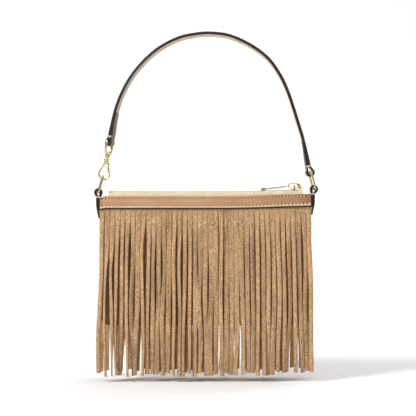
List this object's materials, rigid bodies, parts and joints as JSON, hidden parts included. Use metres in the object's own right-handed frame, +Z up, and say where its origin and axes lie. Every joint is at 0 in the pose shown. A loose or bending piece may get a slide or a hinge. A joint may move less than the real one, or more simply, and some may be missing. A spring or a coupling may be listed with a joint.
{
  "type": "fringed suede bag",
  "caption": "Small zip-top suede bag with long cut fringe, smooth leather top bands and a leather strap held by a snap hook and a ring link.",
  "frame": {"origin": "underside of the strap's highest stretch, over the middle of the pouch", "axes": "+Z up, front towards -Y, snap hook end towards -X"},
  "size_m": [0.2241, 0.0328, 0.3409],
  "materials": {
    "suede": "napped tan suede",
    "band_leather": "smooth light tan leather with a fine grain",
    "strap_leather": "smooth tan leather with dark painted edges",
    "lining_leather": "beige leather",
    "zip_tape": "cream woven tape",
    "gold_metal": "polished pale gold"
  },
  "bodies": {
    "strap": {"strap_outer": "strap_leather", "strap_lining": "lining_leather", "hook_eye": "gold_metal"},
    "pouch": {"front_panel": "suede", "back_panel": "suede", "gusset": "suede", "front_band": "band_leather", "back_band": "band_leather", "front_fringe": "suede", "back_fringe": "suede", "zip_tape_front": "zip_tape", "zip_tape_back": "zip_tape", "zip_teeth_front": "gold_metal", "zip_teeth_back": "gold_metal", "zip_top_stop_front": "gold_metal", "zip_top_stop_back": "gold_metal", "zip_bottom_stop": "gold_metal", "left_tab": "strap_leather", "right_tab": "strap_leather", "left_ring": "gold_metal", "right_ring": "gold_metal"},
    "hook": {"hook_body": "gold_metal", "gate_pin": "gold_metal", "gate_spring": "gold_metal"},
    "gate": {"hook_gate": "gold_metal"},
    "slider": {"zip_slider": "gold_metal"},
    "pull_ring": {"pull_ring": "gold_metal"},
    "pull_tab": {"pull_tab": "gold_metal"}
  },
  "joints": [
    {"name": "bag_swing", "type": "hinge", "parent": "strap", "child": "pouch", "pos_m": [-0.1023, 0, -0.1414], "axis": [0.9996, 0, 0.0276], "range_deg": [-12, 12]},
    {"name": "hook_swivel", "type": "hinge", "parent": "strap", "child": "hook", "pos_m": [-0.0986, 0, -0.1228], "axis": [-0.1702, 0, -0.9854], "range_deg": [-40, 40]},
    {"name": "gate_open", "type": "hinge", "parent": "hook", "child": "gate", "pos_m": [-0.09665, 0, -0.12679], "axis": [0, 1, 0], "range_deg": [0, 25], "stiffness_Nm_per_rad": 0.01, "springref_deg": -34.38},
    {"name": "zip_slide", "type": "slide", "parent": "pouch", "child": "slider", "axis": [-1, 0, 0], "range_m": [0, 0.15], "deforming": ["zip_teeth_front", "zip_teeth_back"]},
    {"name": "pull_ring_flip", "type": "hinge", "parent": "slider", "child": "pull_ring", "pos_m": [0.0922, 0, -0.14925], "axis": [0, 1, 0], "range_deg": [0, 90]},
    {"name": "pull_tab_flip", "type": "hinge", "parent": "pull_ring", "child": "pull_tab", "pos_m": [0.0828, 0, -0.14925], "axis": [0, 1, 0], "range_deg": [0, 45]}
  ]
}
